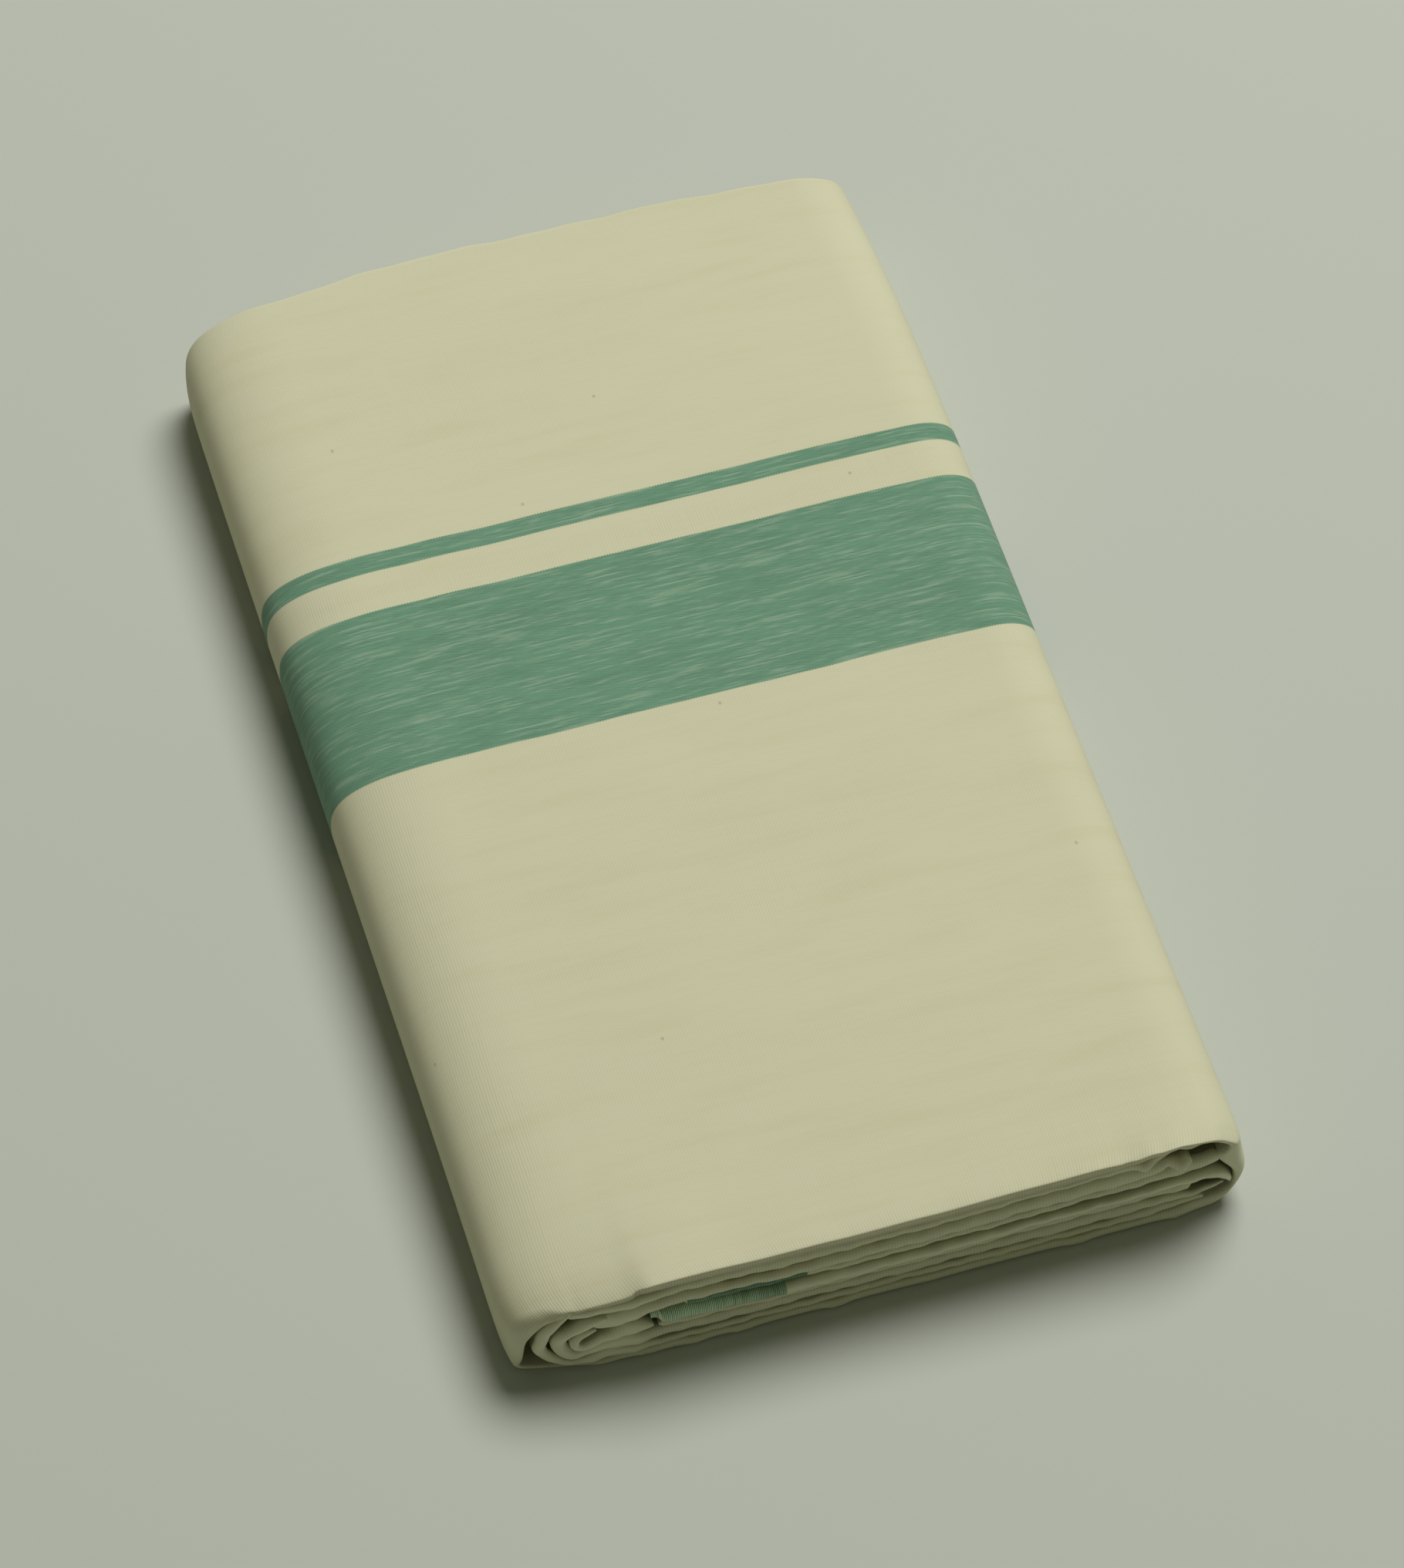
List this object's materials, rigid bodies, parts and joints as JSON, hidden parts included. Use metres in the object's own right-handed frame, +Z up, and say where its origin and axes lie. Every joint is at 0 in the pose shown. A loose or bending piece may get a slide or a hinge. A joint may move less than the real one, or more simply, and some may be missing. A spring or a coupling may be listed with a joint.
{
  "type": "folded dhoti cloth",
  "caption": "Handloom cotton dhoti cloth, folded and rolled flat into a pack with green end bands and a woven border, lying on its underside.",
  "frame": {"origin": "centre of the bounding box on the surface that the pack lies on", "axes": "+X across the pack from its curled side, +Y along the pack away from the end whose folds show, +Z up through the layers"},
  "size_m": [0.1839, 0.313, 0.0325],
  "materials": {
    "banded_cotton": "matt handloom plain weave, cream with one wide and one narrow green end band",
    "border_cotton": "matt handloom plain weave, green warp border beside cream ground",
    "cream_cotton": "matt handloom plain weave, cream, with fine lengthwise ribs"
  },
  "bodies": {
    "root": {"outer_wrap": "banded_cotton", "inner_layers": "cream_cotton", "near_fold_upper": "cream_cotton", "near_fold_third": "cream_cotton", "border_ply_upper": "border_cotton", "border_ply_lower": "border_cotton", "near_fold_middle": "cream_cotton", "left_curl_second": "cream_cotton", "left_curl_outer": "cream_cotton", "left_curl_inner": "cream_cotton"}
  },
  "joints": []
}
